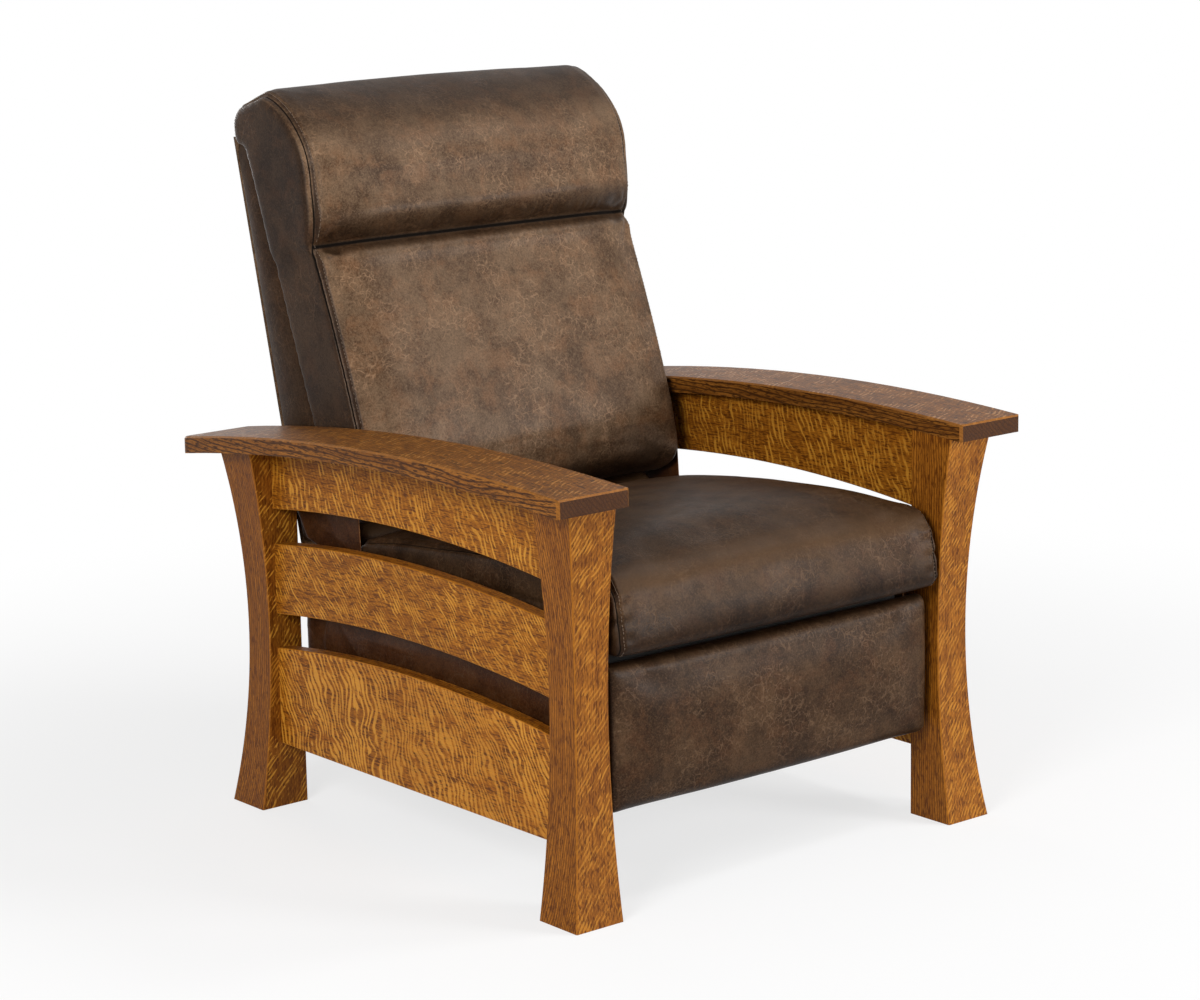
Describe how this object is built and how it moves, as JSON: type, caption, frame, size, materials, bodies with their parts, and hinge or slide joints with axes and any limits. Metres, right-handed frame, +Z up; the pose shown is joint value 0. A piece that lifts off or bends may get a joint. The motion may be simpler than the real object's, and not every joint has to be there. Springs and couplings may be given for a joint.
{
  "type": "push-back recliner",
  "caption": "Push-back recliner with bowed wooden arms on flared posts, arched side rails, leather seat and back, and a padded footrest panel that folds out.",
  "frame": {"origin": "on the floor below the middle of the whole chair, halfway between its sides and between its front and rear ends", "axes": "+Z up; the chair faces -Y; +X is the sitter's left; X = 0 is the plane of symmetry"},
  "size_m": [0.889, 0.966, 1.1221],
  "materials": {
    "arm_wood": "satin stained quarter-sawn oak",
    "frame_wood": "satin stained quarter-sawn oak",
    "plain_wood": "bare hardwood",
    "leather": "distressed brown leather",
    "webbing": "woven elastic webbing",
    "spring_steel": "oiled spring steel",
    "zinc_steel": "zinc plated",
    "black_steel": "black painted steel"
  },
  "bodies": {
    "frame": {"arm_left": "arm_wood", "arm_right": "arm_wood", "arm_tenons": "plain_wood", "base_cross_tubes": "black_steel", "base_plate_bolts": "zinc_steel", "base_plate_left": "black_steel", "base_plate_right": "black_steel", "base_studs": "zinc_steel", "bottom_rail_left": "frame_wood", "bottom_rail_right": "frame_wood", "front_post_left": "frame_wood", "front_post_right": "frame_wood", "middle_rail_left": "frame_wood", "middle_rail_right": "frame_wood", "mounting_cleat_left": "plain_wood", "mounting_cleat_right": "plain_wood", "rear_cross_rail": "plain_wood", "rear_post_left": "frame_wood", "rear_post_right": "frame_wood", "side_panel_left": "leather", "side_panel_right": "leather", "top_rail_left": "frame_wood", "top_rail_right": "frame_wood"},
    "front_lift": {"front_lift_links": "black_steel"},
    "rear_lift": {"rear_lift_links": "black_steel"},
    "seat": {"seat_cross_rails": "plain_wood", "seat_cushion": "leather", "seat_plate_left": "black_steel", "seat_plate_right": "black_steel", "seat_side_rail_left": "plain_wood", "seat_side_rail_right": "plain_wood", "seat_springs": "spring_steel", "seat_studs": "zinc_steel"},
    "front_links": {"footrest_torque_tube": "black_steel", "front_footrest_link_left": "black_steel", "front_footrest_link_right": "black_steel", "front_link_studs": "zinc_steel"},
    "upper_links": {"upper_footrest_link_left": "black_steel", "upper_footrest_link_right": "black_steel", "upper_link_studs": "zinc_steel"},
    "control_links": {"control_footrest_link_left": "black_steel", "control_footrest_link_right": "black_steel"},
    "lower_links": {"lower_footrest_link_left": "black_steel", "lower_footrest_link_right": "black_steel"},
    "footrest": {"footrest_board": "plain_wood", "footrest_bracket_left": "black_steel", "footrest_bracket_right": "black_steel", "footrest_cushion": "leather", "footrest_studs": "zinc_steel"},
    "back": {"back_bracket_left": "black_steel", "back_bracket_right": "black_steel", "back_cross_rails": "plain_wood", "back_cushion": "leather", "back_side_cover_left": "leather", "back_side_cover_right": "leather", "back_stile_left": "plain_wood", "back_stile_right": "plain_wood", "back_webbing": "webbing", "headrest_cushion": "leather", "rear_cover": "leather"}
  },
  "joints": [
    {"name": "footrest_open", "type": "hinge", "parent": "seat", "child": "front_links", "pos_m": [0, -0.329, 0.31], "axis": [-1, 0, 0], "range_deg": [0, 124.5]},
    {"name": "control_link_swing", "type": "hinge", "parent": "seat", "child": "control_links", "pos_m": [0, -0.265, 0.302], "axis": [-1, 0, 0], "range_deg": [0, 124.5]},
    {"name": "upper_link_swing", "type": "hinge", "parent": "front_links", "child": "upper_links", "pos_m": [0, -0.15464, 0.16779], "axis": [-1, 0, 0], "range_deg": [-124.5, 0]},
    {"name": "lower_link_swing", "type": "hinge", "parent": "front_links", "child": "lower_links", "pos_m": [0, -0.13973, 0.13068], "axis": [-1, 0, 0], "range_deg": [-124, 0]},
    {"name": "footrest_turn", "type": "hinge", "parent": "upper_links", "child": "footrest", "pos_m": [0, -0.364, 0.25021], "axis": [-1, 0, 0], "range_deg": [0, 90.5]},
    {"name": "back_recline", "type": "hinge", "parent": "seat", "child": "back", "pos_m": [0, 0.203, 0.39], "axis": [-1, 0, 0], "range_deg": [0, 28]},
    {"name": "seat_glide", "type": "hinge", "parent": "frame", "child": "front_lift", "pos_m": [0, -0.204, 0.23], "axis": [1, 0, 0], "range_deg": [0, 35]},
    {"name": "seat_level", "type": "hinge", "parent": "front_lift", "child": "seat", "pos_m": [0, -0.16385, 0.3161], "axis": [1, 0, 0], "range_deg": [-35, 0]},
    {"name": "rear_lift_swing", "type": "hinge", "parent": "frame", "child": "rear_lift", "pos_m": [0, 0.046, 0.222], "axis": [1, 0, 0], "range_deg": [0, 35]}
  ],
  "couplings": [
    {"joint": "control_link_swing", "follows": "footrest_open", "ratio": 1},
    {"joint": "upper_link_swing", "follows": "footrest_open", "ratio": -1},
    {"joint": "lower_link_swing", "follows": "footrest_open", "ratio": -0.98733},
    {"joint": "footrest_turn", "follows": "footrest_open", "ratio": 0.72289},
    {"joint": "seat_glide", "follows": "back_recline", "ratio": 1.25},
    {"joint": "seat_level", "follows": "back_recline", "ratio": -1.25},
    {"joint": "rear_lift_swing", "follows": "back_recline", "ratio": 1.25}
  ]
}
